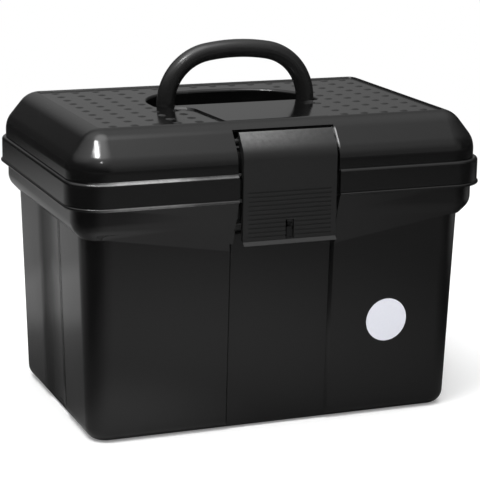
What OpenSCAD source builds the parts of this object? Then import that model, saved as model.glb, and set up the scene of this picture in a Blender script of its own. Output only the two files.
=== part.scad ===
// Grooming box of moulded plastic: tub, hinged lid with a fold-down handle, front flap latch, lift-out tray.
// Millimetres, +Z up, front towards -Y. The origin is the middle of the box on the ground.

/* [Rim and walls] */
// Width of the box over the tub's rim bead
rim_w = 400; // [380:1:430]
// Depth of the box over the tub's rim bead, front to back
rim_d = 272; // [262:1:300]
// Height of the rim bead's top face, where the lid rests
rim_h = 219.5; // [200:0.5:250]
// Corner radius of the rim bead, seen from above
rim_corner = 34; // [33:0.5:36]
// The same for the lid's dome, carried out to the rim
dome_corner = 38; // [37.5:0.5:40]
// The same for the tub's wall, carried out to the rim
wall_corner = 42; // [41:0.5:45]
// Thickness of the moulded walls
wall = 3; // [2.4:0.1:3.4]

/* [Tub] */
// Height of the rim bead
bead_h = 3; // [2.4:0.1:3.6]
// How far the collar stands behind the bead
collar_inset = 7; // [6.6:0.1:7.4]
// How far below the rim the collar runs out into the wall
collar_drop = 31; // [29:0.5:34]
// How far below the rim the front collar reaches beside the latch
droop_drop = 50; // [46:0.5:56]
// Inset of the wall under the collar
wall_inset = 16.3; // [15.8:0.1:16.8]
// Inset of the wall at the ground
foot_inset = 22.3; // [21:0.1:23]
// Fillet between wall and floor
foot_fillet = 13; // [10:0.5:14]
// Thickness of the floor
floor_t = 3.5; // [3:0.1:4.5]
// Width of the sunk panel on the front and the back
panel_w = 96; // [92:1:104]
// Width of the hollow channel down each side
channel_w = 77; // [60:1:100]
// Depth of the panels and channels
channel_deep = 4; // [3:0.1:4.5]
// Height of the dust lip inside the lid's skirt
dust_lip_h = 4; // [3:0.1:6]

/* [Lid] */
// Height of the lid's skirt band
skirt_h = 21.2; // [18:0.1:24]
// Inset of the skirt behind the bead
skirt_inset = 1.3; // [1:0.1:1.6]
// Inset of the dome behind the bead
dome_inset = 4.2; // [3.8:0.1:4.6]
// Height of the dome's upright wall above the skirt
dome_wall_h = 7.4; // [7:0.1:9]
// Height of the lid's top above the skirt
dome_h = 43; // [42:0.1:47]
// Steepness of the dome's slope, in degrees
slope_angle = 52; // [50:0.5:54]
// Radius between the upright wall and the slope
shoulder_r = 23.5; // [21:0.5:25]
// Inset of the flat top
top_inset = 37; // [36:0.5:37]
// Inset of the sunk tread fields
field_inset = 34; // [33:0.5:36]
// Depth of the sunk tread fields
field_deep = 1.6; // [1.4:0.1:2.6]
// Width of the smooth strip in front of the handle
strip_w = 94; // [90:1:100]

/* [Handle] */
// Thickness of the round handle bar
grip_d = 17; // [15:0.5:19]
// Width of the handle, outside
handle_w = 157; // [150:1:166]
// Height of the handle above its pivot
handle_h = 70.4; // [66:0.2:76]
// Outer radius of the handle's shoulders
handle_shoulder_r = 56.5; // [50:0.5:60]
// Height of the pivot above the floor of the recess
handle_pivot_h = 12; // [11:0.5:13]
// Diameter of the pivot pins
handle_pin_d = 6; // [5:0.5:7]
// Room round the folded handle in its recess
recess_room = 2.5; // [2:0.1:4]
// Rounding of the recess's edge
recess_lip = 3; // [2:0.1:3.5]

/* [Latch] */
// Width of the latch flap
flap_w = 89; // [86:1:91]
// Thickness of the latch flap
flap_t = 3; // [2.6:0.1:3.2]
// How far the flap reaches below the rim
flap_drop = 42; // [38:0.5:46]
// How far the flap's face stands off the dome's slope
flap_proud = 4.5; // [4.2:0.1:5]
// Outer radius of the bend between the flap's two faces
bend_r = 21; // [16:0.5:23]
// Radius of the hinge barrel
barrel_r = 4; // [3.6:0.1:4.2]
// Diameter of the latch's hinge pin
latch_pin_d = 3; // [2.5:0.1:3.5]
// Width of the padlock slot
slot_w = 8; // [7:0.2:10]
// Height of the padlock slot
slot_h = 17; // [15:0.5:19]
// Number of grip grooves across the flap
groove_count = 11; // [8:1:12]
// Room at each side of the flap in its pocket
pocket_gap = 4; // [3.5:0.1:5]
// Depth of the hinge pin under the dome's slope
latch_pin_deep = 3; // [2.8:0.1:3.4]

/* [Rear hinge] */
// Distance of each hinge from the middle
hinge_x = 112; // [90:1:125]
// Radius of the hinge knuckles
knuckle_r = 5; // [4.5:0.1:5.5]
// Width of the lid's knuckle
knuckle_w = 26; // [20:1:30]
// Width of each of the tub's knuckles
ear_w = 11; // [9:0.5:14]
// Diameter of the hinge pins
hinge_pin_d = 4; // [3.5:0.1:4.5]

/* [Tray] */
// Depth of the lift-out tray below its flange
tray_deep = 44; // [36:1:60]
// Thickness of the tray's walls
tray_wall = 2; // [1.6:0.1:2.6]
// Inset of the tray's body behind the bead
tray_inset = 28; // [27:0.5:32]
// Height of the carrying bridge above the flange
bridge_h = 22; // [20:0.5:26]
// Length of the carrying bridge
bridge_w = 150; // [130:1:180]

/* [Hidden] */

// Overrun of cuts, steps in an arc, and the facets of true circles
over = 2;
arc_steps = 7;
$fn = 64;

// Clearances
seat_gap = 0.3;
run_fit = 0.05;
side_gap = 0.5;
near_gap = 0.8;

// Colours
black_plastic = "#1c1c1e";
steel = "#9a9ca0";

// Heights
lid_z = rim_h + seat_gap;
skirt_top = lid_z + skirt_h;
lid_top = skirt_top + dome_h;
field_z = lid_top - field_deep;
wall_top = rim_h - collar_drop;

// Tub: draft of the wall, the ledge that carries the tray, and the ogee of the collar
draft = (foot_inset - wall_inset) / wall_top;
draft_angle = atan(draft);
ogee_r = 15;
ogee_angle = 47;
ogee_in = ogee_r * (1 - sin(ogee_angle));
ogee_z = wall_top + (wall_inset - collar_inset - ogee_in) * tan(ogee_angle) + ogee_r * cos(ogee_angle);
ledge_drop = 20.5;
ledge_z = rim_h - ledge_drop;
lip_clear = 2;
shelf_in = 2;
lip_inset = skirt_inset + wall + lip_clear;
inner_inset = collar_inset + wall;
droop_inset = 2;
pad_overlap = 1;
pad_z = foot_fillet / 2;
ramp = channel_deep;

// Lid: the crest arc that joins the slope to the top
skirt_round = dome_inset - skirt_inset;
shoulder_turn = 90 - slope_angle;
shoulder_in = dome_inset + shoulder_r * (1 - cos(shoulder_turn));
shoulder_z = skirt_top + dome_wall_h + shoulder_r * sin(shoulder_turn);
crest_run = top_inset - shoulder_in;
crest_rise = lid_top - shoulder_z;
crest_det = sin(slope_angle) * sin(slope_angle) - cos(slope_angle) * (1 - cos(slope_angle));
crest_r = (crest_run * sin(slope_angle) - cos(slope_angle) * crest_rise) / crest_det;
ceiling_z = field_z - wall;
ledge_root = 4;

// Handle: centre line of shoulders and crown, and the recess that takes it folded
grip_r = grip_d / 2;
leg_x = handle_w / 2 - grip_r;
shoulder_x = handle_w / 2 - handle_shoulder_r;
crown_rise = 1.9;
shoulder_y = handle_h - handle_shoulder_r - crown_rise;
crown_drop = (shoulder_x * shoulder_x - crown_rise * crown_rise) / (2 * crown_rise);
crown_r = handle_h - shoulder_y + crown_drop;
crown_turn = atan(shoulder_x / crown_drop);
crown_slim = 0.05;
crown_lap = 0.5;
handle_pin_r = handle_pin_d / 2;
pin_in_leg = grip_r / 2;
pin_boss_r = handle_pin_r + wall;
pin_boss_l = 6;
recess_deep = 23.4;
recess_floor = field_z - recess_deep;
pivot_z = recess_floor + handle_pivot_h;
recess_half = handle_w / 2 + recess_room;
recess_front = grip_r + recess_room;
recess_corner = 8;
recess_fillet = 3;
strip_flare = 6;
flare_r = 16;
flare_back = recess_front + recess_lip + 1.5 * flare_r;

// Latch: everything is laid out on the dome's slope, in the plane seen from the side
slope_out = [-sin(slope_angle), cos(slope_angle)];
slope_down = [-cos(slope_angle), -sin(slope_angle)];
slope_foot = [-rim_d / 2 + shoulder_in, shoulder_z];
latch_up = 9.4;
latch_axis = slope_foot - latch_up * slope_down - latch_pin_deep * slope_out;
head_up = 6;
head_round = 2.5;
head_centre = latch_axis - (head_up - head_round) * slope_down
              + (latch_pin_deep + flap_proud - head_round) * slope_out;
head_reach = norm(head_centre - latch_axis) + head_round;
flap_face = head_centre + head_round * slope_out;
flap_y = skirt_inset - rim_d / 2;
flap_bend = flap_face + slope_down * ((flap_face[0] - flap_y) / cos(slope_angle));
flap_bottom = rim_h - flap_drop;
bend_back = bend_r * tan((90 - slope_angle) / 2);
bend_centre = [flap_y + bend_r, flap_bend[1] - bend_back];
finger_lip = 3.5;
flange_t = 3;
rib_out = collar_inset - side_gap - skirt_inset - flap_t;
rib_h = 5;
rib_gap = 0.9;
rib_w = 28;
groove_w = 1.2;
groove_deep = 0.5;
groove_pitch = 4;
groove_edge = 5;
slot_foot = 3;
latch_pin_r = latch_pin_d / 2;
stub_wall = 1.1;
stub_r = latch_pin_r + stub_wall;
pocket_half = flap_w / 2 + pocket_gap;
pocket_room = 1;
pocket_deep = flap_t + pocket_room;
head_gap = 1.6;
pocket_up = latch_up + head_reach + head_gap;
tongue_w = 5;
tongue_h = 9;
tongue_foot = 2.5;
tongue_in = 1.5;

// Rear hinge
hinge_room = 2.5;
hinge_y = rim_d / 2 + knuckle_r + hinge_room;
hinge_z = rim_h;
hinge_pin_r = hinge_pin_d / 2;
ear_x = knuckle_w / 2 + side_gap;
arm_up = 0.7;
ear_drop = 16;

// Tray
tray_gap = 1;
tray_flange_t = 2.5;
tray_draft = 1.5;
tray_round = 6;
tray_z = ledge_z + seat_gap;
tray_bottom = tray_z - tray_deep;
tray_half_w = rim_w / 2 - tray_inset;
tray_half_d = rim_d / 2 - tray_inset;
bridge_t = 8;
bridge_corner = 12;
hand_w = 92;
hand_h = 17;
hand_foot = 1.5;
divider_x = 62;
divider_low = 8;

// Points along an arc
function arc(c, r, a0, a1) =
    [for (i = [0 : arc_steps]) let (a = a0 + (a1 - a0) * i / arc_steps) c + r * [cos(a), sin(a)]];

// Carries an upright profile round the box: turned at the corners, straight along the sides.
// The profile's x is the distance out from the corner's axis, which lies one corner radius inside the rim.
module carry_round(corner) {
    ax = rim_w / 2 - corner;
    ay = rim_d / 2 - corner;
    for (q = [[1, 1, 0], [-1, 1, 90], [-1, -1, 180], [1, -1, 270]])
        translate([q[0] * ax, q[1] * ay, 0])
            rotate(q[2])
                rotate_extrude(angle = 90)
                    children();
    for (turn = [0, 180])
        rotate(turn) {
            translate([ax, ay, 0])
                rotate([90, 0, 0])
                    linear_extrude(2 * ay)
                        children();
            translate([-ax, ay, 0])
                rotate([90, 0, 90])
                    linear_extrude(2 * ax)
                        children();
        }
}

// Flat plate inside the corner axes, from one height to another
module core(corner, z0, z1) {
    ax = rim_w / 2 - corner;
    ay = rim_d / 2 - corner;
    translate([-ax, -ay, z0])
        cube([2 * ax, 2 * ay, z1 - z0]);
}

// A side profile in the Y-Z plane, made as wide as asked along X from x0
module along_x(x0, width) {
    translate([x0, 0, 0])
        rotate([90, 0, 90])
            linear_extrude(width)
                children();
}

// Round bar along X
module bar_x(x0, x1, r) {
    translate([x0, 0, 0])
        rotate([0, 90, 0])
            cylinder(r = r, h = x1 - x0);
}

// Tub: section of the floor and the drafted wall, up into the collar
module wall_section() {
    foot_r = wall_corner - foot_inset;
    top_r = wall_corner - wall_inset;
    foot = [foot_r - foot_fillet, foot_fillet];
    inner_foot = [foot[0], floor_t + foot_fillet - wall];
    tip = draft * (ledge_z - wall_top);
    polygon(concat(
        [[0, 0]],
        arc(foot, foot_fillet, -90, -draft_angle),
        [[top_r + tip, ledge_z], [top_r + tip - wall, ledge_z]],
        arc(inner_foot, foot_fillet - wall, -draft_angle, -90),
        [[0, floor_t]]));
}

// Tub: section of the collar with its ogee, the rim bead, the dust lip and the shelf for the tray
module collar_section() {
    face = rim_corner - collar_inset;
    lip = rim_corner - lip_inset;
    inner = rim_corner - inner_inset;
    low = rim_corner - wall_inset;
    polygon(concat(
        [[low - wall - shelf_in, wall_top], [low, wall_top]],
        arc([face - ogee_r, ogee_z], ogee_r, ogee_angle - 90, 0),
        [[face, rim_h - bead_h]],
        arc([rim_corner - bead_h / 2, rim_h - bead_h / 2], bead_h / 2, -90, 90),
        [[lip, rim_h], [lip, rim_h + dust_lip_h], [inner, rim_h + dust_lip_h], [inner, ledge_z],
         [low - wall - shelf_in, ledge_z]]));
}

// A sunk strip down a drafted wall: its side ramps lean out, and it may be deeper or wider by a margin
module wall_strip(width, margin, back, front, z0) {
    half = width / 2 + margin;
    translate([0, 0, wall_top])
        rotate([draft_angle, 0, 0])
            translate([0, 0, z0 - wall_top])
                linear_extrude(wall_top - z0)
                    polygon([[-half - ramp, front], [half + ramp, front], [half, back], [-half, back]]);
}

// Outline of the hollow channel down a side wall: one shallow arc, or larger by a margin
module channel_arc(margin) {
    half = channel_w / 2;
    arc_r = (half * half + channel_deep * channel_deep) / (2 * channel_deep);
    translate([0, channel_deep - arc_r])
        circle(r = arc_r + margin, $fn = 180);
}

// The channel drawn down the drafted wall, between two distances from its face
module side_channel(margin, front, z0) {
    reach = channel_w + wall;
    translate([0, 0, wall_top])
        rotate([draft_angle, 0, 0])
            translate([0, 0, z0 - wall_top])
                linear_extrude(wall_top - z0)
                    intersection() {
                        channel_arc(margin);
                        translate([-reach, front])
                            square([2 * reach, 2 * channel_deep + wall]);
                    }
}

// Places children at the front and back walls' faces, and at the two sides
module at_walls(front_back, sides) {
    if (front_back)
        for (turn = [0, 180])
            rotate(turn)
                translate([0, wall_inset - rim_d / 2, 0])
                    children();
    if (sides)
        for (turn = [90, 270])
            rotate(turn)
                translate([0, wall_inset - rim_w / 2, 0])
                    children();
}

// Upright block on the front wall, from y0 forwards, over an outline drawn in X and Z
module front_block(y0) {
    translate([0, y0, 0])
        rotate([90, 0, 0])
            linear_extrude(y0 - droop_inset + rim_d / 2 + over)
                children();
}

// The front collar's swell towards the latch: a wedge under one leaning plane, as far out as the flap's face
module collar_droop() {
    x0 = pocket_half;
    x1 = rim_w / 2 - rim_corner;
    low = rim_h - droop_drop;
    high = rim_h - bead_h;
    wall_y = wall_inset - rim_d / 2;
    low_y = wall_y + draft * (wall_top - low);
    out = [x1, wall_y, wall_top];
    in_low = [x0, low_y, low];
    in_high = [x0, droop_inset - rim_d / 2, high];
    n = cross(in_high - out, in_low - out);
    m = n[1] < 0 ? n : -n;
    difference() {
        union() {
            front_block(wall_y + wall / 2)
                polygon([[x0, low], [x0, ledge_z], [x1, ledge_z], [x1, wall_top]]);
            front_block(collar_inset + wall / 2 - rim_d / 2)
                polygon([[x0, wall_top], [x0, high], [x1, high], [x1, wall_top]]);
        }
        translate(out)
            rotate([0, acos(m[2] / norm(m)), atan2(m[1], m[0])])
                translate([-rim_w, -rim_w, 0])
                    cube([2 * rim_w, 2 * rim_w, rim_w]);
    }
}

// Room for the flap at the tub's rim: the bead set back, and the dust lip left out
module rim_notch() {
    lip_half = pocket_half + wall + lip_clear;
    translate([-pocket_half, -rim_d / 2 - over, rim_h - bead_h - over])
        cube([2 * pocket_half, over + skirt_inset + flap_t + side_gap, bead_h + 2 * over]);
    translate([-lip_half, -rim_d / 2, rim_h])
        cube([2 * lip_half, inner_inset + over, dust_lip_h + over]);
}

// Bracket and knuckle of the tub at one side of a hinge
module tub_ear(x0) {
    back = rim_d / 2 - collar_inset - wall / 2;
    along_x(x0, ear_w)
        polygon([[back, hinge_z - ear_drop], [hinge_y, hinge_z - knuckle_r], [hinge_y, hinge_z - seat_gap],
                 [back, hinge_z - seat_gap]]);
    translate([0, hinge_y, hinge_z])
        bar_x(x0, x0 + ear_w, knuckle_r);
}

// Tongue of the tub that stands in the flap's padlock slot
module lock_tongue() {
    z0 = flap_bottom + slot_foot + tongue_foot;
    y0 = flap_y + tongue_in;
    translate([-tongue_w / 2, y0, z0])
        cube([tongue_w, wall_inset - rim_d / 2 + wall / 2 - y0, tongue_h]);
}

module base_tub() {
    color(black_plastic)
        difference() {
            union() {
                carry_round(wall_corner)
                    wall_section();
                core(wall_corner, 0, floor_t);
                carry_round(rim_corner)
                    collar_section();
                at_walls(true, false)
                    wall_strip(panel_w, wall, channel_deep + wall, channel_deep - pad_overlap, pad_z);
                at_walls(false, true)
                    side_channel(wall, wall - pad_overlap, pad_z);
                for (side = [0, 1])
                    mirror([side, 0, 0])
                        collar_droop();
                for (side = [-1, 1], ear = [-ear_x - ear_w, ear_x])
                    tub_ear(side * hinge_x + ear);
                lock_tongue();
            }
            at_walls(true, false)
                wall_strip(panel_w, 0, channel_deep, -over, -over);
            at_walls(false, true)
                side_channel(0, -over, -over);
            rim_notch();
            for (side = [-1, 1])
                translate([side * hinge_x, hinge_y, hinge_z])
                    bar_x(-ear_x - ear_w - over, ear_x + ear_w + over, hinge_pin_r);
        }
}

// Lid: section of the dome, from the skirt's top to the middle of the top
module dome_section() {
    face = dome_corner - dome_inset;
    shoulder = [face - shoulder_r, skirt_top + dome_wall_h];
    crest = [dome_corner - top_inset, lid_top - crest_r];
    polygon(concat(
        [[0, skirt_top - wall], [face, skirt_top - wall]],
        arc(shoulder, shoulder_r, 0, shoulder_turn),
        arc(crest, crest_r, shoulder_turn, 90),
        [[0, lid_top]]));
}

// Hollow of the dome, one wall inside its section and below the tread fields
module dome_hollow_section() {
    face = dome_corner - dome_inset;
    shoulder = [face - shoulder_r, skirt_top + dome_wall_h];
    slope_in = shoulder + (shoulder_r - wall) * [cos(shoulder_turn), sin(shoulder_turn)];
    rise = ceiling_z - slope_in[1];
    polygon(concat(
        [[0, skirt_top - wall - over], [face - wall, skirt_top - wall - over]],
        arc(shoulder, shoulder_r - wall, 0, shoulder_turn),
        [[slope_in[0] - rise / tan(slope_angle), ceiling_z],
         [0, ceiling_z]]));
}

// Section of the lid's skirt, with the ledge that joins it to the dome
module skirt_section() {
    face = rim_corner - skirt_inset;
    root = rim_corner - dome_inset - ledge_root;
    polygon(concat(
        [[face - wall, lid_z], [face, lid_z]],
        arc([face - skirt_round, skirt_top - skirt_round], skirt_round, 0, 90),
        [[root, skirt_top], [root, skirt_top - wall], [face - wall, skirt_top - wall]]));
}

// Edge of the handle's recess: filleted floor, upright wall at r, rounded lip at the top
module recess_edge(r) {
    polygon(concat(
        [[0, recess_floor]],
        arc([r - recess_fillet, recess_floor + recess_fillet], recess_fillet, -90, 0),
        arc([r + recess_lip, field_z - recess_lip], recess_lip, 180, 90),
        [[r + recess_lip, lid_top + over], [0, lid_top + over]]));
}

// Plain block with the recess's outline, larger by a margin
module recess_block(margin, z0, z1) {
    h = z1 - z0;
    half = recess_half + margin;
    translate([0, 0, z0]) {
        for (side = [0, 1])
            mirror([side, 0, 0])
                translate([shoulder_x, shoulder_y, 0])
                    rotate_extrude(angle = 90)
                        square([handle_shoulder_r + recess_room + margin, h]);
        translate([-half, -recess_front - margin, 0])
            cube([2 * half, recess_front + margin + shoulder_y, h]);
        intersection() {
            translate([0, handle_h - crown_r, 0])
                cylinder(r = crown_r + recess_room + margin, h = h);
            translate([-shoulder_x, 0, 0])
                cube([2 * shoulder_x, handle_h + recess_room + margin + over, h]);
        }
    }
}

// The hollow that takes the folded handle: one edge profile turned and drawn along the outline
module recess_hollow() {
    side_run = shoulder_y + recess_front - recess_corner;
    for (side = [0, 1])
        mirror([side, 0, 0]) {
            translate([shoulder_x, shoulder_y, 0])
                rotate_extrude(angle = 90)
                    recess_edge(handle_shoulder_r + recess_room);
            translate([recess_half - recess_corner, recess_corner - recess_front, 0])
                rotate(270)
                    rotate_extrude(angle = 90)
                        recess_edge(recess_corner);
        }
    for (turn = [0, 1])
        mirror([turn, 0, 0])
            translate([0, shoulder_y, 0])
                rotate([90, 0, 0])
                    linear_extrude(side_run)
                        recess_edge(recess_half);
    rotate([90, 0, -90])
        translate([0, 0, recess_corner - recess_half])
            linear_extrude(2 * (recess_half - recess_corner))
                recess_edge(recess_front);
    intersection() {
        translate([0, handle_h - crown_r, 0])
            rotate_extrude()
                recess_edge(crown_r + recess_room);
        translate([-shoulder_x, 0, recess_floor - over])
            cube([2 * shoulder_x, handle_h + recess_room + 2 * recess_lip, lid_top - recess_floor + 3 * over]);
    }
}

// Smooth strip in front of the recess, flaring towards the handle's feet
module strip_plan() {
    half = strip_w / 2;
    rear = half + strip_flare;
    front_y = -rim_d / 2;
    polygon(concat(
        [[-half, front_y], [half, front_y]],
        [for (p = arc([rear + flare_r, -flare_back], flare_r, 180, 90)) p],
        [[rear + flare_r, -recess_front], [-rear - flare_r, -recess_front]],
        [for (p = arc([-rear - flare_r, -flare_back], flare_r, 90, 0)) p]));
}

// The two sunk tread fields
module tread_fields() {
    translate([0, 0, field_z])
        linear_extrude(field_deep + over)
            difference() {
                field_plan();
                strip_plan();
            }
}

module field_plan() {
    r = dome_corner - field_inset;
    ax = rim_w / 2 - dome_corner;
    ay = rim_d / 2 - dome_corner;
    square([2 * ax + 2 * r, 2 * ay], center = true);
    square([2 * ax, 2 * ay + 2 * r], center = true);
    for (sx = [-1, 1], sy = [-1, 1])
        translate([sx * ax, sy * ay])
            circle(r = r);
}

// The lid's front outline seen from the side, taken in by a margin
function lid_side(inset) =
    let (skirt_y = skirt_inset + inset - rim_d / 2,
         dome_y = dome_inset + inset - rim_d / 2,
         shoulder = [dome_inset + shoulder_r - rim_d / 2, skirt_top + dome_wall_h],
         crest = [top_inset - rim_d / 2, lid_top - crest_r])
    concat(
        [[0, lid_z], [skirt_y, lid_z], [skirt_y, skirt_top - inset], [dome_y, skirt_top - inset]],
        arc(shoulder, shoulder_r - inset, 180, 180 - shoulder_turn),
        arc(crest, crest_r - inset, 180 - shoulder_turn, 90),
        [[0, lid_top - inset]]);

// The latch pocket seen from the side: it follows the lid's outline up to the flap's head, with a round well
// in which the head turns. It may be larger by a margin.
module pocket_side(margin) {
    top = slope_foot - (pocket_up + margin) * slope_down;
    intersection() {
        difference() {
            translate([-rim_d, lid_z - over])
                square([rim_d, lid_top]);
            polygon(lid_side(pocket_deep + margin));
        }
        translate(top)
            rotate(slope_angle)
                translate([-rim_d, -rim_d])
                    square([rim_d, 2 * rim_d]);
    }
    translate(latch_axis)
        circle(r = head_reach + near_gap + margin);
}

// Walls of the latch pocket, inside the lid
module pocket_walls() {
    half = pocket_half + wall;
    along_x(-half, 2 * half)
        intersection() {
            pocket_side(wall);
            polygon(lid_side(wall / 2));
        }
}

// Arm and knuckle of the lid at a hinge
module lid_knuckle() {
    front = rim_d / 2 - skirt_inset - wall / 2;
    along_x(-knuckle_w / 2, knuckle_w)
        polygon([[front, hinge_z + arm_up], [hinge_y, hinge_z + arm_up], [hinge_y, hinge_z + knuckle_r],
                 [front, hinge_z + 2 * knuckle_r]]);
    translate([0, hinge_y, hinge_z])
        bar_x(-knuckle_w / 2, knuckle_w / 2, knuckle_r);
}

module lid() {
    boss_end = recess_half + wall + pin_boss_l;
    color(black_plastic)
        difference() {
            union() {
                difference() {
                    union() {
                        carry_round(dome_corner)
                            dome_section();
                        core(dome_corner, skirt_top - wall, lid_top);
                        carry_round(rim_corner)
                            skirt_section();
                    }
                    carry_round(dome_corner)
                        dome_hollow_section();
                    core(dome_corner, skirt_top - wall - over, ceiling_z);
                }
                recess_block(wall, recess_floor - wall, field_z - wall / 2);
                pocket_walls();
                for (side = [0, 1])
                    mirror([side, 0, 0])
                        translate([0, 0, pivot_z])
                            bar_x(recess_half + wall / 2, boss_end, pin_boss_r);
                for (side = [-1, 1])
                    translate([side * hinge_x, 0, 0])
                        lid_knuckle();
            }
            tread_fields();
            recess_hollow();
            for (side = [0, 1])
                mirror([side, 0, 0])
                    translate([0, 0, pivot_z])
                        bar_x(recess_half - over, boss_end + over, handle_pin_r);
            along_x(-pocket_half, 2 * pocket_half)
                pocket_side(0);
            translate([0, latch_axis[0], latch_axis[1]])
                bar_x(-pocket_half - wall, pocket_half + wall, latch_pin_r);
            for (side = [-1, 1])
                translate([side * hinge_x, hinge_y, hinge_z])
                    bar_x(-knuckle_w, knuckle_w, hinge_pin_r + run_fit);
        }
}

// Bail of round bar: crown, two shoulders and two legs with round ends on the pivot
module carry_handle() {
    color(black_plastic)
        translate([0, 0, pivot_z])
            difference() {
                union() {
                    translate([0, 0, handle_h - crown_r])
                        rotate([90, 0, 0])
                            rotate(90 - crown_turn - crown_lap)
                                rotate_extrude(angle = 2 * crown_turn + 2 * crown_lap)
                                    translate([crown_r - grip_r, 0])
                                        circle(r = grip_r - crown_slim);
                    for (side = [0, 1])
                        mirror([side, 0, 0]) {
                            translate([shoulder_x, 0, shoulder_y])
                                rotate([90, 0, 0])
                                    rotate_extrude(angle = 90 - crown_turn)
                                        translate([handle_shoulder_r - grip_r, 0])
                                            circle(r = grip_r);
                            translate([leg_x, 0, 0]) {
                                cylinder(r = grip_r, h = shoulder_y);
                                sphere(r = grip_r);
                            }
                        }
                }
                for (side = [0, 1])
                    mirror([side, 0, 0])
                        bar_x(leg_x - pin_in_leg - over, handle_w / 2 + over, handle_pin_r + run_fit);
            }
}

module handle_pin(side) {
    color(steel)
        mirror([side, 0, 0])
            translate([0, 0, pivot_z])
                bar_x(leg_x - pin_in_leg, recess_half + wall + pin_boss_l, handle_pin_r);
}

// The flap's outer face seen from the side: round head, slope and bend
function flap_front() =
    concat(
        arc(head_centre, head_round, slope_angle, 180 - shoulder_turn),
        arc(bend_centre, bend_r, 180 - shoulder_turn, 180));

// A point under the dome's slope, just below the hinge barrel
function below_barrel(deep) = slope_foot - (latch_up - barrel_r) * slope_down - deep * slope_out;

// Flap seen from the side: face, finger lip, and the inner face one thickness behind
module flap_section() {
    low = flap_bottom + finger_lip;
    polygon(concat(
        [latch_axis],
        flap_front(),
        [[flap_y, low], [flap_y - finger_lip, flap_bottom],
         [flap_y - finger_lip + flap_t, flap_bottom], [flap_y + flap_t, low]],
        arc(bend_centre, bend_r - flap_t, 180, 180 - shoulder_turn),
        [below_barrel(flap_t - flap_proud)]));
}

// Flange at each end of the flap: it fills the pocket's depth and follows the rim at a small distance
module flange_section() {
    low = flap_bottom + finger_lip;
    deep = pocket_deep - near_gap;
    dome_y = dome_inset + deep - rim_d / 2;
    bead_y = flap_y + flap_t;
    tub_y = collar_inset - rim_d / 2 - near_gap;
    shoulder = [dome_inset - rim_d / 2 + shoulder_r, skirt_top + dome_wall_h];
    under_bead = rim_h - bead_h - rib_gap - near_gap;
    polygon(concat(
        [latch_axis],
        flap_front(),
        [[flap_y, low], [tub_y, low], [tub_y, under_bead], [bead_y, under_bead + near_gap],
         [bead_y, skirt_top - deep], [dome_y, skirt_top - deep]],
        arc(shoulder, shoulder_r - deep, 180, 180 - shoulder_turn),
        [below_barrel(deep)]));
}

// Snap rib inside the flap, which hooks under the rim bead
module catch_rib(x0) {
    top = rim_h - bead_h - rib_gap;
    inside = flap_y + flap_t;
    along_x(x0, rib_w)
        polygon([[inside - flap_t / 2, top], [inside + rib_out, top], [inside + rib_out, top - rib_h / 3],
                 [inside - flap_t / 2, top - rib_h]]);
}

module front_latch() {
    half = flap_w / 2;
    stub_half = pocket_half - side_gap;
    slot_z = flap_bottom + slot_foot;
    color(black_plastic)
        difference() {
            union() {
                along_x(-half, flap_w)
                    flap_section();
                along_x(-half, flange_t)
                    flange_section();
                along_x(half - flange_t, flange_t)
                    flange_section();
                translate([0, latch_axis[0], latch_axis[1]]) {
                    bar_x(-half, half, barrel_r);
                    bar_x(-stub_half, stub_half, stub_r);
                }
                for (x0 = [-rib_w - slot_w, slot_w])
                    catch_rib(x0);
            }
            translate([-slot_w / 2, flap_y - over, slot_z + slot_foot / 2])
                cube([slot_w, flap_t + 2 * over, slot_h]);
            for (i = [0 : groove_count - 1])
                translate([-half + groove_edge, flap_y - over, flap_bottom + 2 * finger_lip + i * groove_pitch])
                    cube([flap_w - 2 * groove_edge, over + groove_deep, groove_w]);
            translate([0, latch_axis[0], latch_axis[1]])
                bar_x(-stub_half - over, stub_half + over, latch_pin_r + run_fit);
        }
}

module latch_hinge_pin() {
    end = pocket_half + wall;
    color(steel)
        translate([0, latch_axis[0], latch_axis[1]])
            bar_x(-end, end, latch_pin_r);
}

module hinge_pin(side) {
    end = ear_x + ear_w;
    color(steel)
        translate([side * hinge_x, hinge_y, hinge_z])
            bar_x(-end, end, hinge_pin_r);
}

// Tray: section of the wall from the floor's middle to the flange
module tray_section() {
    out_r = wall_corner - tray_inset;
    foot_r = out_r - tray_draft;
    rim_r = wall_corner - inner_inset - tray_gap;
    polygon(concat(
        [[0, tray_bottom]],
        arc([foot_r - tray_round, tray_bottom + tray_round], tray_round, -90, 0),
        [[out_r, tray_z],
         [rim_r, tray_z],
         [rim_r, tray_z + tray_flange_t],
         [out_r - tray_wall, tray_z + tray_flange_t]],
        arc([foot_r - tray_round, tray_bottom + tray_round], tray_round - tray_wall, 0, -90),
        [[0, tray_bottom + tray_wall]]));
}

// Rounded carrying bridge across the tray's middle, with a hand hole
module tray_bridge() {
    top = tray_z + tray_flange_t + bridge_h;
    half = bridge_w / 2;
    hand_r = hand_h / 2;
    hand_z = top - hand_r - hand_foot - bridge_t / 2;
    translate([0, bridge_t / 2, 0])
        rotate([90, 0, 0])
            linear_extrude(bridge_t)
                difference() {
                    union() {
                        translate([-half, tray_bottom + tray_wall / 2])
                            square([bridge_w, top - bridge_corner - tray_bottom - tray_wall / 2]);
                        translate([-half + bridge_corner, top - 2 * bridge_corner])
                            square([bridge_w - 2 * bridge_corner, 2 * bridge_corner]);
                        for (s = [-1, 1])
                            translate([s * (half - bridge_corner), top - bridge_corner])
                                circle(r = bridge_corner);
                    }
                    translate([-hand_w / 2 + hand_r, hand_z - hand_r])
                        square([hand_w - hand_h, hand_h]);
                    for (s = [-1, 1])
                        translate([s * (hand_w / 2 - hand_r), hand_z])
                            circle(r = hand_r);
                }
}

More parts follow.
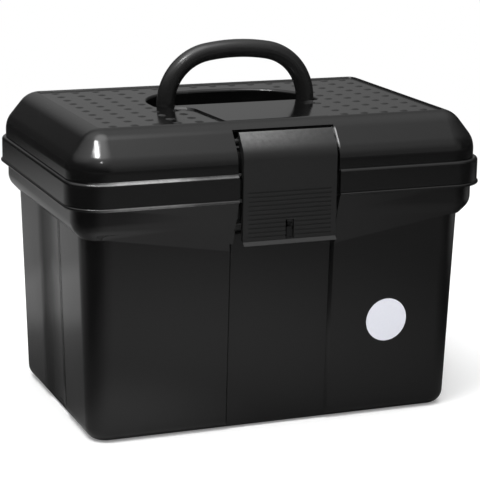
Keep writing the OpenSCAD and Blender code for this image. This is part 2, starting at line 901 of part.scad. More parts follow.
module lift_out_tray() {
    inside = tray_half_d - tray_wall / 2 - tray_draft;
    low = tray_bottom + tray_wall / 2;
    color(black_plastic) {
        carry_round(wall_corner)
            tray_section();
        core(wall_corner, tray_bottom, tray_bottom + tray_wall);
        tray_bridge();
        translate([-tray_half_w + tray_wall / 2 + tray_draft, -tray_wall / 2, low])
            cube([2 * tray_half_w - tray_wall - 2 * tray_draft, tray_wall, tray_z - divider_low - low]);
        for (s = [-1, 1])
            translate([s * divider_x - tray_wall / 2, -inside, low])
                cube([tray_wall, inside, tray_z - divider_low - low]);
    }
}

base_tub();
lid();
carry_handle();
handle_pin(1);  // handle_pin_left
handle_pin(0);  // handle_pin_right
front_latch();
latch_hinge_pin();
hinge_pin(-1);  // hinge_pin_left
hinge_pin(1);  // hinge_pin_right
lift_out_tray();
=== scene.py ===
"""Looks of the moulded grooming box: finishes, lid studs, label, studio and camera.
Lengths are metres, in the frame's axes."""

import math

import bpy
from mathutils import Matrix, Vector


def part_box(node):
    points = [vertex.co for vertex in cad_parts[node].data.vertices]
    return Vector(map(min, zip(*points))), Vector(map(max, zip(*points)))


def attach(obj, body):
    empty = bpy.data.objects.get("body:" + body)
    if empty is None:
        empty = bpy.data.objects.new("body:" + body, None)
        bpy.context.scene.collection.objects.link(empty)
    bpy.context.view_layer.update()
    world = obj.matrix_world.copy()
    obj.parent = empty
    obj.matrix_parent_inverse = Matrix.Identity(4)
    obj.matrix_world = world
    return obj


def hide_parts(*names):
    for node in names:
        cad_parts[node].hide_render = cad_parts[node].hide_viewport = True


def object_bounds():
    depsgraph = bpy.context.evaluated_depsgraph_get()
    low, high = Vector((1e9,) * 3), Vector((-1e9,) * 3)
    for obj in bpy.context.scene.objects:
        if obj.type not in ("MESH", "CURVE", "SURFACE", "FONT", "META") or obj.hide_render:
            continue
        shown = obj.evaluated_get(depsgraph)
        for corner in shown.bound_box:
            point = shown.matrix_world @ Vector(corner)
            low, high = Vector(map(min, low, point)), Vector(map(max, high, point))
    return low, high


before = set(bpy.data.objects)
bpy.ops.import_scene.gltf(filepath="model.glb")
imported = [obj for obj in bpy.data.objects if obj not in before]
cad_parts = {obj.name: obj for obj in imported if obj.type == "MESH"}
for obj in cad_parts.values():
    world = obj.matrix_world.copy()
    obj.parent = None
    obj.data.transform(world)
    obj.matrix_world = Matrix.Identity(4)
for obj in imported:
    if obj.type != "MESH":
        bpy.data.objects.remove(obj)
cad_low, cad_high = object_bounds()
_, tub_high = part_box("base_tub")
lid_low, lid_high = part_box("lid")
latch_low, latch_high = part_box("front_latch")
MM = 0.001

# Camera, as fitted to the photograph's straight edges
CAMERA_AZIMUTH = math.radians(-21.65)
CAMERA_ELEVATION = math.radians(13.86)
CAMERA_ROLL = math.radians(0.88)
CAMERA_DISTANCE = 1773.7 * MM
CAMERA_TARGET = Vector((6.2 * MM, 0, 147.9 * MM))
CAMERA_LENS = 138.85
SENSOR = 36

# Smooth copies of the moulded pieces: how they are cleaned, and how their edges are rounded
MERGE_DISTANCE = 0.002 * MM
FLAT_ANGLE = math.radians(0.6)
SMOOTH_ANGLE = math.radians(28)
BODY_ROUND = 0.6 * MM
HANDLE_ROUND = 0.3 * MM
FLAP_ROUND = 0.4 * MM
TRAY_ROUND = 0.5 * MM
ROUND_STEPS = 2

# Sharp outer edges that are rounded more: round the tread fields, the latch's pocket and its finger lip
SHARP_ANGLE = math.radians(40)
PAN_ROUND = 1 * MM
POCKET_ROUND = 1.3 * MM
LIP_ROUND = 1.2 * MM
SOFT_STEPS = 3

# How a face is known: least share of its normal that looks one way, and most that looks up when it is upright
FACING_SHARE = 0.7
STRAIGHT_SHARE = 0.9
UPRIGHT_SHARE = 0.1

# A ray that feels for a surface starts this far outside the box
PROBE_AWAY = 100 * MM

# Tread fields: where one is met, as a share of the lid's half width, and the walls that lean,
# by the way they face and how far their foot moves that way
FIELD_SHARE = 0.6
TREAD_EASES = ((Vector((0, -1, 0)), 1.6 * MM), (Vector((-1, 0, 0)), 0.9 * MM))
TREAD_SLACK = 0.05 * MM

# Tread studs on the lid: a low dome in rings, with each ring's share of the height, how far in from the
# hinge side the rows end, at the front as at the back, and the room and level ground that a stud needs
STUD_PITCH = 20 * MM
STUD_RADIUS = 4.4 * MM
STUD_HEIGHT = 0.9 * MM
STUD_SIDES = 12
STUD_RISE_SHARES = (0.45, 0.32, 0.23)
STUD_SINK = 0.3 * MM
STUD_EDGE = 52 * MM
STUD_ROOM = 1 * MM
STUD_LEVEL = 0.2 * MM

# Side channels of the tub, pressed in a little deeper than the solid has them: half their width,
# the extra depth, and how far out the tub's sides are met, as a share of its half width
CHANNEL_HALF = 38.5 * MM
CHANNEL_SLACK = 0.1 * MM
CHANNEL_DEEPER = 2.2 * MM
CHANNEL_OUT_SHARE = 0.75

# Blank label on the front wall, with a slightly raised middle
LABEL_X = 107 * MM
LABEL_Z = 91.7 * MM
LABEL_RADIUS = 20.4 * MM
LABEL_SIDES = 64
LABEL_THICK = 0.25 * MM
LABEL_CROWN_SHARE = 0.2
LABEL_OFF = 0.05 * MM

# Plastics: tone and roughness of each, and how far these vary
BODY_BLACK = (0.004, 0.12)
HANDLE_BLACK = (0.012, 0.26)
FLAP_BLACK = (0.009, 0.5)
TRAY_GREY = (0.025, 0.3)
TONE_SPREAD = 0.15
ROUGH_SPREAD = 0.06
PLASTIC_IOR = 1.5

# Skin of the plastics: height of its waves, height of its grain, and how fine the grain is
GLOSS_SKIN = (0.012 * MM, 0.0015 * MM, 900.0)
SATIN_SKIN = (0.02 * MM, 0.02 * MM, 1100.0)

# Dust on the plastics: specks that lie only in some patches
SPECK_SCALE = 420.0
SPECK_RADIUS = 0.07
DUST_FROM = 0.6
DUST_COVER = 0.5
DUST_PALER = 8
DUST_ROUGHER = 0.3

# Patterns in the finishes
FLOW_MARKS = {"Scale": 14.0, "Detail": 4.0, "Roughness": 0.6, "Distortion": 0.8}
SKIN_WAVES = {"Scale": 110.0, "Detail": 1.0}
SKIN_GRAIN = {"Detail": 2.0, "Roughness": 0.7}
DUST_PATCHES = {"Scale": 60.0, "Detail": 2.0}
HIGHLIGHT_BLOTCHES = {"Scale": 260.0, "Detail": 3.0, "Roughness": 0.65}
STEEL_LINES = {"Scale": 1.0, "Detail": 3.0}
VINYL_FIBRE = {"Scale": 500.0, "Detail": 3.0}

# How uneven the painted highlights are
BLOTCH_LEAST = 0.4
BLOTCH_SPREAD = 1.2

# Painted highlight on the flap's upper face: how far down it fades out, half the face's width, its tone,
# the share of it at the right, and where it is full, as a share of the way to the left edge
FLAP_HIGHLIGHT_DEEP = 18 * MM
FLAP_HALF = latch_high.x - 3.5 * MM
FLAP_HIGHLIGHT_TONE = 0.16
FLAP_HIGHLIGHT_RIGHT_SHARE = 0.12
FLAP_HIGHLIGHT_LEFT_SHARE = 1.2

# Painted highlights along the front of the lid's ledge and of the tub's bead, most at the left: heights,
# reach and tone
LEDGE_BAND = (lid_high.z - 44.6 * MM, lid_high.z - 42.2 * MM)
LEDGE_HIGHLIGHT_TONE = 0.38
BEAD_BAND = (tub_high.z - 8 * MM, tub_high.z - 4.9 * MM)
BEAD_HIGHLIGHT_TONE = 0.11
HIGHLIGHT_FRONT = lid_low.y + 34.7 * MM
HIGHLIGHT_FAINT = (60 * MM, -50 * MM, 0.28)
HIGHLIGHT_STRONG = (-80 * MM, -115 * MM, 0.72)
HIGHLIGHT_CORNER = (lid_low.x + 12.7 * MM, lid_low.x + 48.7 * MM)

# Painted highlight on the right edge of the latch's pocket: its two sides, and where it fades out below and
# above
POCKET_EDGE = (latch_high.x + 0.3 * MM, latch_high.x + 1.9 * MM)
POCKET_EDGE_LOW = (latch_high.z - 18.8 * MM, latch_high.z - 10.8 * MM)
POCKET_EDGE_HIGH = (latch_high.z + 0.2 * MM, latch_high.z - 2.8 * MM)

# Drawn wire of the pins: dark and light tones, roughness, and how its pattern is drawn out along the wire
BRIGHT_TONES = (0.42, 0.66)
BLACK_TONES = (0.02, 0.04)
STEEL_ROUGH = 0.2
STEEL_ROUGH_SPREAD = 0.2
STEEL_STRETCH = (40.0, 2500.0, 2500.0)

# White vinyl of the label
VINYL_DARK = (0.80, 0.81, 0.89, 1)
VINYL_LIGHT = (0.85, 0.86, 0.93, 1)
VINYL_ROUGH = 0.3
VINYL_ROUGH_SPREAD = 0.1
VINYL_BUMP = 0.1
VINYL_DEEP = 0.05 * MM

# Studio floor: paper with the box's shadow, lifted to white, and plain white further off
FLOOR_SIZE = 60
FLOOR_TONE = 0.94
FLOOR_LIFT = 0.2
FLOOR_NEAR = 0.4
FLOOR_FAR = 1.2

# Felt on the floor, which only reflections see: pale patches and a pale far end on dark cloth.
# Each patch is its middle, the reach of its full tone, where it ends, and its tone.
FELT_UP = 1 * MM
FELT_DARK = 0.025
FELT_PATCHES = (
    ((-0.03, -0.3, 0), 0.0, 0.52, 0.29),
    ((0.15, -1.0, 0), 0.2, 1.0, 0.15),
    ((-0.5, 0.6, 0), 0.1, 0.82, 0.3),
    ((-0.31, 0.34, 0), 0.07, 0.16, 0.12),
    ((-0.15, -0.15, 0), 0.02, 0.16, 0.26),
    ((1.0, 0.0, 0), 0.1, 0.5, 0.2),
    ((0.1, 1.1, 0), 0.1, 0.5, 0.3),
)
FELT_END = (-1.5, -2.6)
FELT_END_TONE = 0.09

# Soft surround: dark at the horizon and bright overhead, with soft panels round about.
# Each panel is its compass angle from straight behind, its height, its spread, all in degrees, and its tone.
SKY_HORIZON = 0.04
SKY_OVERHEAD = 1.15
SOFT_PANELS = (
    (12, 18, 28, 0.24),
    (-70, 55, 42, 0.5),
    (178, 45, 42, 0.34),
    (148, 12, 34, 0.26),
    (-140, 60, 50, 0.3),
    (-150, 78, 29, 2.4),
)

# Two small lamps, which give the front left corner of the lid its streak and the dot under it
CORNER = Vector((lid_low.x + 23.7 * MM, lid_low.y + 14.7 * MM, lid_high.z - 17 * MM))
LAMP_AWAY = 2.0
STRIP_TOWARDS = Vector((-0.37, -0.26, 0.89))
STRIP_WIDE = 0.7
STRIP_HIGH = 0.1
STRIP_RADIANCE = 60
SPOT_TOWARDS = Vector((-0.25, -0.69, 0.68))
SPOT_SIZE = 0.09
SPOT_RADIANCE = 80


class Shade:
    """A shader socket that takes part in Python sums; each sum adds a Math node."""

    def __init__(self, tree, socket):
        self.tree = tree
        self.socket = socket

    def _math(self, operation, a, b):
        return node(self.tree, "ShaderNodeMath", {"operation": operation}, {0: a, 1: b})

    def __add__(self, other):
        return self._math("ADD", self, other)

    __radd__ = __add__

    def __sub__(self, other):
        return self._math("SUBTRACT", self, other)

    def __rsub__(self, other):
        return self._math("SUBTRACT", other, self)

    def __mul__(self, other):
        return self._math("MULTIPLY", self, other)

    __rmul__ = __mul__

    def __gt__(self, other):
        return self._math("GREATER_THAN", self, other)


def node(tree, kind, settings=None, values=None, output=0):
    """Adds a node: its settings first, then the values or links of its sockets. Gives one output."""
    made = tree.nodes.new(kind)
    for name, value in (settings or {}).items():
        setattr(made, name, value)
    for name, value in (values or {}).items():
        if isinstance(value, Shade):
            tree.links.new(value.socket, made.inputs[name])
        else:
            made.inputs[name].default_value = value
    return Shade(tree, made.outputs[output]) if len(made.outputs) else made


def grey(level):
    return (level, level, level, 1.0)


def new_material(name):
    """An empty material, ready for its nodes."""
    material = bpy.data.materials.new(name)
    material.use_nodes = True
    material.node_tree.nodes.clear()
    return material, material.node_tree


def close_material(tree, shader):
    node(tree, "ShaderNodeOutputMaterial", None, {"Surface": shader})


def own_place(tree):
    """The place on the piece itself."""
    return node(tree, "ShaderNodeTexCoord", output="Object")


def along(tree, place, axis):
    """One coordinate of a place."""
    return node(tree, "ShaderNodeSeparateXYZ", None, {"Vector": place}, output=axis)


def noise(tree, place, pattern):
    """An uneven pattern, from about 0 to 1."""
    return node(tree, "ShaderNodeTexNoise", None, {"Vector": place, **pattern})


def mix(tree, share, first, second):
    """A colour between two others."""
    return node(tree, "ShaderNodeMix", {"data_type": "RGBA"},
                {"Factor": share, "A": first, "B": second}, output=2)


def ramp(tree, value, start, end):
    """0 up to start, going softly to 1 at end, which may be the lower of the two."""
    return node(tree, "ShaderNodeMapRange", {"interpolation_type": "SMOOTHSTEP"},
                {"Value": value, "From Min": start, "From Max": end})


def between(value, low, high):
    """1 between two values, and 0 outside."""
    return (value - low > 0) * (high - value > 0)


def at_front(tree, place):
    """1 on the front of the box, and 0 further back."""
    return HIGHLIGHT_FRONT - along(tree, place, "Y") > 0


def blotches(tree, place):
    """Fine uneven patches, round about 1."""
    return BLOTCH_LEAST + noise(tree, place, HIGHLIGHT_BLOTCHES) * BLOTCH_SPREAD


def flap_painted_highlight(tree, place):
    """How much painted highlight the flap's upper face gets: most at its top left."""
    across = along(tree, place, "X")
    leftwards = ramp(tree, across, latch_high.x, latch_low.x * FLAP_HIGHLIGHT_LEFT_SHARE)
    left = FLAP_HIGHLIGHT_RIGHT_SHARE + leftwards * (1 - FLAP_HIGHLIGHT_RIGHT_SHARE)
    high = ramp(tree, along(tree, place, "Z"), latch_high.z - FLAP_HIGHLIGHT_DEEP, latch_high.z)
    return left * high * between(across, -FLAP_HALF, FLAP_HALF) * blotches(tree, place)


def painted_highlight_band(low, high):
    """Painted highlight between two heights along the front, most at the left."""
    def painted_highlight(tree, place):
        across = along(tree, place, "X")
        band = between(along(tree, place, "Z"), low, high)
        amount = 0
        for start, end, share in (HIGHLIGHT_FAINT, HIGHLIGHT_STRONG):
            amount = amount + ramp(tree, across, start, end) * share
        off_corner = ramp(tree, across, *HIGHLIGHT_CORNER)
        return band * at_front(tree, place) * amount * off_corner * blotches(tree, place)
    return painted_highlight


def lid_painted_highlights(tree, place):
    """Painted highlights on the lid: along its ledge, and on the right edge of the latch's pocket."""
    up = along(tree, place, "Z")
    beside = between(along(tree, place, "X"), *POCKET_EDGE) * at_front(tree, place)
    pocket_highlight = beside * ramp(tree, up, *POCKET_EDGE_LOW) * ramp(tree, up, *POCKET_EDGE_HIGH)
    return painted_highlight_band(*LEDGE_BAND)(tree, place) + pocket_highlight * blotches(tree, place)


def moulded_plastic(name, finish, skin, painted_highlight=None, painted_highlight_tone=0):
    """Moulded plastic: flow marks in its gloss, a slight skin, fine grain, a few dust specks and any painted
    highlight.
    """
    material, tree = new_material(name)
    colour, gloss = finish
    wave_height, grain_height, grain_scale = skin
    place = own_place(tree)
    flow = noise(tree, place, FLOW_MARKS)
    waves = noise(tree, place, SKIN_WAVES)
    grain = noise(tree, place, {"Scale": grain_scale, **SKIN_GRAIN})
    specks = node(tree, "ShaderNodeTexVoronoi", {"feature": "F1"}, {"Vector": place, "Scale": SPECK_SCALE})
    dust = (SPECK_RADIUS - specks > 0) * (noise(tree, place, DUST_PATCHES) > DUST_FROM)
    tone = mix(tree, flow, grey(colour * (1 - TONE_SPREAD)), grey(colour * (1 + TONE_SPREAD)))
    shown = mix(tree, dust * DUST_COVER, tone, grey(colour * DUST_PALER))
    # Painted highlight: a lighter tone mixed in where its mask says
    if painted_highlight:
        shown = mix(tree, painted_highlight(tree, place), shown, grey(painted_highlight_tone))
    rough = gloss + (flow - 0.5) * ROUGH_SPREAD + dust * DUST_ROUGHER
    relief = waves * wave_height + grain * grain_height
    bump = node(tree, "ShaderNodeBump", None, {"Height": relief, "Strength": 1.0, "Distance": 1.0})
    shader = node(tree, "ShaderNodeBsdfPrincipled", None,
                  {"Base Color": shown, "Roughness": rough, "Normal": bump, "IOR": PLASTIC_IOR})
    close_material(tree, shader)
    return material


def drawn_steel(name, tones):
    """Drawn wire, with fine lines along its length, between two tones."""
    material, tree = new_material(name)
    dark, light = tones
    stretched = node(tree, "ShaderNodeMapping", None, {"Vector": own_place(tree), "Scale": STEEL_STRETCH})
    lines = noise(tree, stretched, STEEL_LINES)
    tone = mix(tree, lines, grey(dark), grey(light))
    rough = STEEL_ROUGH + lines * STEEL_ROUGH_SPREAD
    shader = node(tree, "ShaderNodeBsdfPrincipled", None,
                  {"Base Color": tone, "Roughness": rough, "Metallic": 1.0})
    close_material(tree, shader)
    return material


def label_vinyl():
    """White coated vinyl, slightly uneven in gloss."""
    material, tree = new_material("label_vinyl")
    fibre = noise(tree, own_place(tree), VINYL_FIBRE)
    tone = mix(tree, fibre, VINYL_DARK, VINYL_LIGHT)
    rough = VINYL_ROUGH + fibre * VINYL_ROUGH_SPREAD
    bump = node(tree, "ShaderNodeBump", None,
                {"Height": fibre, "Strength": VINYL_BUMP, "Distance": VINYL_DEEP})
    shader = node(tree, "ShaderNodeBsdfPrincipled", None,
                  {"Base Color": tone, "Roughness": rough, "Normal": bump})
    close_material(tree, shader)
    return material


def pick(obj):
    """Makes obj the only selected and the active object."""
    bpy.ops.object.select_all(action="DESELECT")
    obj.select_set(True)
    bpy.context.view_layer.objects.active = obj


def pick_nothing_of(kind):
    """Leaves no part of the active mesh selected, ready for parts of one kind to be selected."""
    bpy.ops.object.mode_set(mode="EDIT")
    bpy.ops.mesh.select_mode(type=kind)
    bpy.ops.mesh.select_all(action="DESELECT")
    bpy.ops.object.mode_set(mode="OBJECT")


def apply_all(obj):
    """Applies every modifier of obj, in order."""
    pick(obj)
    for name in [m.name for m in obj.modifiers]:
        bpy.ops.object.modifier_apply(modifier=name)


def dress(obj, material):
    """Gives obj one material all over."""
    obj.data.materials.clear()
    obj.data.materials.append(material)


def height_at(obj, x, y):
    """Height of obj's upper surface at x, y, or None beside it."""
    hit, place, _, _ = obj.ray_cast(Vector((x, y, cad_high.z + PROBE_AWAY)), Vector((0, 0, -1)))
    return place.z if hit else None


def tread_floor(lid):
    """Height of the lid's sunk tread fields."""
    return height_at(lid, lid_high.x * FIELD_SHARE, 0)


def on_lid_top(place):
    """Edges on the lid's highest face, round the tread fields."""
    return place.z > lid_high.z - PAN_ROUND / 4


def round_latch(place):
    """Edges of the pocket that the latch lies in."""
    beside = abs(place.x) < latch_high.x + POCKET_ROUND
    return beside and place.y < latch_high.y + 4 * POCKET_ROUND and place.z > latch_low.z


def at_finger_lip(place):
    """Edges of the lip at the latch's foot."""
    return place.z < latch_low.z + 3 * LIP_ROUND


def round_edges(piece, chosen, width):
    """Rounds the sharp outer edges of piece whose two ends are both chosen."""
    mesh = piece.data
    sides = {}
    for face in mesh.polygons:
        for key in face.edge_keys:
            sides.setdefault(key, []).append(face)
    pick_nothing_of("EDGE")
    for edge in mesh.edges:
        faces = sides.get(tuple(edge.key), [])
        if len(faces) == 2 and all(chosen(mesh.vertices[v].co) for v in edge.vertices):
            first, second = faces
            sharp = first.normal.angle(second.normal, 0) > SHARP_ANGLE
            outer = (second.center - first.center).dot(first.normal) < 0
            edge.select = sharp and outer
    bpy.ops.object.mode_set(mode="EDIT")
    bpy.ops.mesh.bevel(offset=width, offset_type="OFFSET", segments=SOFT_STEPS,
                       affect="EDGES", clamp_overlap=True)
    bpy.ops.object.mode_set(mode="OBJECT")


def wall_feet(mesh, floor_z, facing):
    """Lower corners of the upright faces that stand on floor_z and face one way."""
    feet = set()
    for face in mesh.polygons:
        heights = {v: mesh.vertices[v].co.z for v in face.vertices}
        stands = abs(min(heights.values()) - floor_z) < TREAD_SLACK
        upright = abs(face.normal.z) < UPRIGHT_SHARE
        if stands and upright and face.normal.dot(facing) > FACING_SHARE:
            feet.update(v for v, height in heights.items() if height < floor_z + TREAD_SLACK)
    return feet


def ease_tread(piece):
    """Moves the feet of some of the tread fields' walls outwards, so that these walls are soft ramps."""
    floor_z = tread_floor(piece)
    for facing, width in TREAD_EASES:
        pick_nothing_of("VERT")
        for foot in wall_feet(piece.data, floor_z, facing):
            piece.data.vertices[foot].select = True
        bpy.ops.object.mode_set(mode="EDIT")
        bpy.ops.transform.translate(value=facing * width)
        bpy.ops.object.mode_set(mode="OBJECT")


def in_channel(mesh, face):
    """Whether a face lies in the hollow down one of the tub's sides."""
    outwards = math.copysign(1, face.center.x) * face.normal.x > STRAIGHT_SHARE
    within = all(abs(mesh.vertices[v].co.y) < CHANNEL_HALF + CHANNEL_SLACK for v in face.vertices)
    return outwards and within and abs(face.center.x) > tub_high.x * CHANNEL_OUT_SHARE


def deepen_channels(piece):
    """Presses the hollow down each side of the tub further in, most along its middle."""
    mesh = piece.data
    hollow = {v for face in mesh.polygons if in_channel(mesh, face) for v in face.vertices}
    for v in hollow:
        place = mesh.vertices[v].co
        bow = max(0, 1 - (place.y / CHANNEL_HALF) ** 2)
        place.x -= math.copysign(CHANNEL_DEEPER * bow, place.x)


def moulded_piece(node_name, body, material, edge_round, softer=(), ease=None):
    """A smooth copy of a CAD piece: merged, its flat faces made whole, its edges softened as a mould does.
    softer lists the edges that are rounded more, by a test of their ends and the width; ease moves walls."""
    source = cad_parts[node_name]
    pick(source)
    bpy.ops.object.duplicate()
    piece = bpy.context.view_layer.objects.active
    piece.parent = None
    piece.matrix_world = Matrix.Identity(4)
    for key in list(piece.keys()):
        del piece[key]
    piece.name = node_name + "_moulded"
    bpy.ops.mesh.customdata_custom_splitnormals_clear()
    bpy.ops.object.mode_set(mode="EDIT")
    bpy.ops.mesh.select_all(action="SELECT")
    bpy.ops.mesh.remove_doubles(threshold=MERGE_DISTANCE)
    bpy.ops.mesh.dissolve_limited(angle_limit=FLAT_ANGLE, delimit={"NORMAL"})
    bpy.ops.object.mode_set(mode="OBJECT")
    if ease:
        ease(piece)
    for chosen, width in softer:
        round_edges(piece, chosen, width)
    bevel = piece.modifiers.new("edges", "BEVEL")
    bevel.width = edge_round
    bevel.segments = ROUND_STEPS
    bevel.limit_method = "ANGLE"
    bevel.angle_limit = SMOOTH_ANGLE
    bevel.use_clamp_overlap = True
    bevel.harden_normals = False
    apply_all(piece)
    bpy.ops.object.shade_smooth_by_angle(angle=SMOOTH_ANGLE)
    weights = piece.modifiers.new("flats", "WEIGHTED_NORMAL")
    weights.keep_sharp = True
    apply_all(piece)
    dress(piece, material)
    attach(piece, body)
    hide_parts(node_name)
    return piece


def stud_places(lid, field_z):
    """Grid places where a whole stud stands on the sunk tread fields."""
    count_x = int(lid_high.x / STUD_PITCH)
    count_y = int(lid_high.y / STUD_PITCH)
    last_row = lid_high.y - STUD_EDGE
    reach = STUD_RADIUS + STUD_ROOM
    found = []
    for i in range(-count_x, count_x):
        for j in range(-count_y, count_y):
            x = (i + 0.5) * STUD_PITCH
            y = (j + 0.5) * STUD_PITCH
            rim = [(x, y), (x + reach, y), (x - reach, y), (x, y + reach), (x, y - reach)]
            heights = [height_at(lid, *p) for p in rim]
            level = all(h is not None and abs(h - field_z) < STUD_LEVEL for h in heights)
            if level and abs(y) < last_row:
                found.append((x, y))
    return found


def domed_stud():
    """One stud: a short drum whose top is drawn in and raised, ring by ring."""
    bpy.ops.object.select_all(action="DESELECT")
    bpy.ops.mesh.primitive_cylinder_add(vertices=STUD_SIDES, radius=STUD_RADIUS, depth=STUD_SINK)
    stud = bpy.context.view_layer.objects.active
    pick_nothing_of("FACE")
    for face in stud.data.polygons:
        face.select = face.normal.z > STRAIGHT_SHARE
    bpy.ops.object.mode_set(mode="EDIT")
    for rise in STUD_RISE_SHARES:
        bpy.ops.mesh.inset(thickness=STUD_RADIUS / (len(STUD_RISE_SHARES) + 1))
        bpy.ops.transform.translate(value=(0, 0, STUD_HEIGHT * rise))
    bpy.ops.object.mode_set(mode="OBJECT")
    return stud


def tread_studs(lid, material):
    """The grip studs on the lid: one stud, copied over the tread fields."""
    field_z = tread_floor(lid)
    stud = domed_stud()
    copies = []
    for x, y in stud_places(lid, field_z):
        copy = stud.copy()
        copy.data = stud.data.copy()
        bpy.context.scene.collection.objects.link(copy)
        copy.location = (x, y, field_z - STUD_SINK / 2)
        copies.append(copy)
    bpy.data.objects.remove(stud)
    pick(copies[0])
    for copy in copies:
        copy.select_set(True)
    bpy.ops.object.join()
    studs = bpy.context.view_layer.objects.active
    studs.name = "tread_studs"
    bpy.ops.object.transform_apply(location=True, rotation=True, scale=True)
    bpy.ops.object.shade_smooth_by_angle(angle=SMOOTH_ANGLE)
    dress(studs, material)
    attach(studs, "lid")


def blank_label(tub, material):
    """A plain round label stuck on the front wall, where the photograph has one."""
    start = Vector((LABEL_X, cad_low.y - PROBE_AWAY, LABEL_Z))
    _, place, normal, _ = tub.ray_cast(start, Vector((0, 1, 0)))
    bpy.ops.object.select_all(action="DESELECT")
    bpy.ops.mesh.primitive_circle_add(vertices=LABEL_SIDES, radius=LABEL_RADIUS, fill_type="NGON")
    label = bpy.context.view_layer.objects.active
    label.name = "blank_label"
    bpy.ops.object.mode_set(mode="EDIT")
    bpy.ops.mesh.select_all(action="SELECT")
    bpy.ops.mesh.extrude_region_move(TRANSFORM_OT_translate={"value": (0, 0, LABEL_THICK)})
    bpy.ops.mesh.inset(thickness=LABEL_THICK)
    bpy.ops.transform.translate(value=(0, 0, LABEL_THICK * LABEL_CROWN_SHARE))
    bpy.ops.mesh.select_all(action="SELECT")
    bpy.ops.mesh.normals_make_consistent(inside=False)
    bpy.ops.object.mode_set(mode="OBJECT")
    turn = normal.to_track_quat("Z", "Y").to_matrix().to_4x4()
    label.matrix_world = Matrix.Translation(place + normal * LABEL_OFF) @ turn
    pick(label)
    bpy.ops.object.transform_apply(location=True, rotation=True, scale=True)
    bpy.ops.object.shade_smooth_by_angle(angle=SMOOTH_ANGLE)
    dress(label, material)
    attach(label, "tub")


def seen_directly(tree):
    """1 for camera, glossy and transmission rays, and 0 for the rays that light the box."""
    camera = node(tree, "ShaderNodeLightPath", output="Is Camera Ray")
    glossy = node(tree, "ShaderNodeLightPath", output="Is Glossy Ray")
    through = node(tree, "ShaderNodeLightPath", output="Is Transmission Ray")
    return camera + glossy + through


def from_place(tree, place, centre, near, far):
    """1 up to near from the centre, fading to 0 at far."""
    reach = node(tree, "ShaderNodeVectorMath", {"operation": "DISTANCE"},
                 {0: place, 1: centre}, output="Value")
    return ramp(tree, reach, far, near)


def stage_plane(name, up):
    """A large flat sheet, up above the ground."""
    bpy.ops.object.select_all(action="DESELECT")
    bpy.ops.mesh.primitive_plane_add(size=FLOOR_SIZE, location=(0, 0, cad_low.z + up))
    sheet = bpy.context.view_layer.objects.active
    sheet.name = name
    return sheet


def studio_floor():
    """A large pale floor: it keeps the box's shadow nearby and is plain white further off."""
    floor = stage_plane("studio_floor", 0)
    material, tree = new_material("floor_paper")
    near = from_place(tree, own_place(tree), (0, 0, 0), FLOOR_NEAR, FLOOR_FAR)
    paper = node(tree, "ShaderNodeBsdfDiffuse", None, {"Color": grey(FLOOR_TONE)})
    lift = node(tree, "ShaderNodeEmission", None, {"Color": seen_directly(tree), "Strength": FLOOR_LIFT})
    lifted = node(tree, "ShaderNodeAddShader", None, {0: paper, 1: lift})
    white = node(tree, "ShaderNodeEmission", None, {"Color": grey(1.0), "Strength": 1.0})
    far = (1 - near) * seen_directly(tree)
    close_material(tree, node(tree, "ShaderNodeMixShader", None, {0: far, 1: lifted, 2: white}))
    dress(floor, material)


def studio_felt():
    """Dark felt with pale patches round the box, seen only in the box's reflections."""
    felt = stage_plane("studio_felt", FELT_UP)
    material, tree = new_material("dark_felt")
    place = own_place(tree)
    tone = FELT_DARK + ramp(tree, along(tree, place, "Y"), *FELT_END) * FELT_END_TONE
    for centre, near, far, patch in FELT_PATCHES:
        tone = tone + from_place(tree, place, centre, near, far) * patch
    close_material(tree, node(tree, "ShaderNodeBsdfDiffuse", None, {"Color": tone}))
    dress(felt, material)
    felt.visible_camera = False
    felt.visible_diffuse = False
    felt.visible_shadow = False
    felt.visible_transmission = False


def soft_panel(tree, ray, compass, up, spread):
    """1 where the ray looks straight at the panel, fading to 0 at its spread."""
    turn = math.radians(compass)
    rise = math.radians(up)
    aim = (math.sin(turn) * math.cos(rise), math.cos(turn) * math.cos(rise), math.sin(rise))
    facing = node(tree, "ShaderNodeVectorMath", {"operation": "DOT_PRODUCT"},
                  {0: ray, 1: aim}, output="Value")
    return ramp(tree, facing, math.cos(math.radians(spread)), 1.0)


def studio_world():
    """Soft surround that lights the box and shows in its plastic, but is plain white to the camera."""
    world = bpy.data.worlds.new("studio")
    bpy.context.scene.world = world
    world.use_nodes = True
    tree = world.node_tree
    tree.nodes.clear()
    ray = node(tree, "ShaderNodeTexCoord", output="Generated")
    height = along(tree, ray, "Z")
    soft = SKY_HORIZON + height * height * height * SKY_OVERHEAD
    for compass, up, spread, bright in SOFT_PANELS:
        soft = soft + soft_panel(tree, ray, compass, up, spread) * bright
    camera = node(tree, "ShaderNodeLightPath", output="Is Camera Ray")
    tone = mix(tree, camera, soft, grey(1.0))
    back = node(tree, "ShaderNodeBackground", None, {"Color": tone, "Strength": 1.0})
    node(tree, "ShaderNodeOutputWorld", None, {"Surface": back})


def corner_lamp(name, towards, width, height, radiance):
    """A rectangular lamp that looks at the lid's corner, as bright all over as radiance says."""
    data = bpy.data.lights.new(name, "AREA")
    data.shape = "RECTANGLE"
    data.size = width
    data.size_y = height
    data.energy = radiance * math.pi * width * height
    lamp = bpy.data.objects.new(name, data)
    bpy.context.scene.collection.objects.link(lamp)
    lamp.location = CORNER + towards * LAMP_AWAY
    lamp.rotation_euler = (-towards).to_track_quat("-Z", "Y").to_euler()


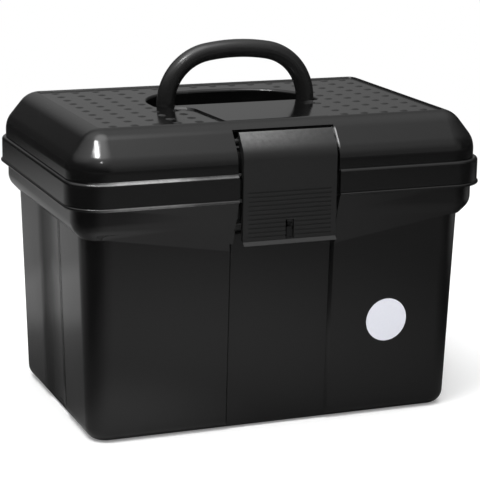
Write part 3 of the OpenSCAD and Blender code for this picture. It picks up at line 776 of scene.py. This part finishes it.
def photo_camera():
    """The camera, at the photograph's angle."""
    data = bpy.data.cameras.new("photo_camera")
    data.lens = CAMERA_LENS
    data.sensor_width = SENSOR
    cam = bpy.data.objects.new("photo_camera", data)
    bpy.context.scene.collection.objects.link(cam)
    turn = (Matrix.Rotation(CAMERA_AZIMUTH, 4, "Z")
            @ Matrix.Rotation(math.pi / 2 - CAMERA_ELEVATION, 4, "X")
            @ Matrix.Rotation(CAMERA_ROLL, 4, "Z"))
    back = turn @ Vector((0, 0, CAMERA_DISTANCE))
    cam.matrix_world = Matrix.Translation(CAMERA_TARGET + back) @ turn
    bpy.context.scene.camera = cam


# Finishes
gloss_black = moulded_plastic("gloss_black", BODY_BLACK, GLOSS_SKIN)
# Lid and tub: painted highlights along the lid's ledge, the tub's bead and the latch pocket's right edge
lid_black = moulded_plastic("lid_black", BODY_BLACK, GLOSS_SKIN, lid_painted_highlights, LEDGE_HIGHLIGHT_TONE)
tub_black = moulded_plastic("tub_black", BODY_BLACK, GLOSS_SKIN, painted_highlight_band(*BEAD_BAND), BEAD_HIGHLIGHT_TONE)
handle_black = moulded_plastic("handle_black", HANDLE_BLACK, GLOSS_SKIN)
tray_grey = moulded_plastic("tray_grey", TRAY_GREY, GLOSS_SKIN)
# Flap: a painted highlight on its upper face, most at the top left
satin_black = moulded_plastic("satin_black", FLAP_BLACK, SATIN_SKIN, flap_painted_highlight, FLAP_HIGHLIGHT_TONE)
bright_steel = drawn_steel("drawn_steel", BRIGHT_TONES)
black_steel = drawn_steel("black_steel", BLACK_TONES)

# Pieces
tub = moulded_piece("base_tub", "tub", tub_black, BODY_ROUND, ease=deepen_channels)
lid_edges = ((on_lid_top, PAN_ROUND), (round_latch, POCKET_ROUND))
lid = moulded_piece("lid", "lid", lid_black, BODY_ROUND, lid_edges, ease_tread)
moulded_piece("carry_handle", "handle", handle_black, HANDLE_ROUND)
latch_edges = ((at_finger_lip, LIP_ROUND),)
moulded_piece("front_latch", "latch", satin_black, FLAP_ROUND, latch_edges)
moulded_piece("lift_out_tray", "tray", tray_grey, TRAY_ROUND)
for pin in ("handle_pin_left", "handle_pin_right", "hinge_pin_left", "hinge_pin_right"):
    dress(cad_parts[pin], bright_steel)
dress(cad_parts["latch_hinge_pin"], black_steel)
tread_studs(lid, gloss_black)
blank_label(tub, label_vinyl())

# Studio
studio_floor()
studio_felt()
studio_world()
corner_lamp("corner_strip", STRIP_TOWARDS, STRIP_WIDE, STRIP_HIGH, STRIP_RADIANCE)
corner_lamp("corner_spot", SPOT_TOWARDS, SPOT_SIZE, SPOT_SIZE, SPOT_RADIANCE)
photo_camera()
bpy.context.scene.view_settings.view_transform = "Standard"
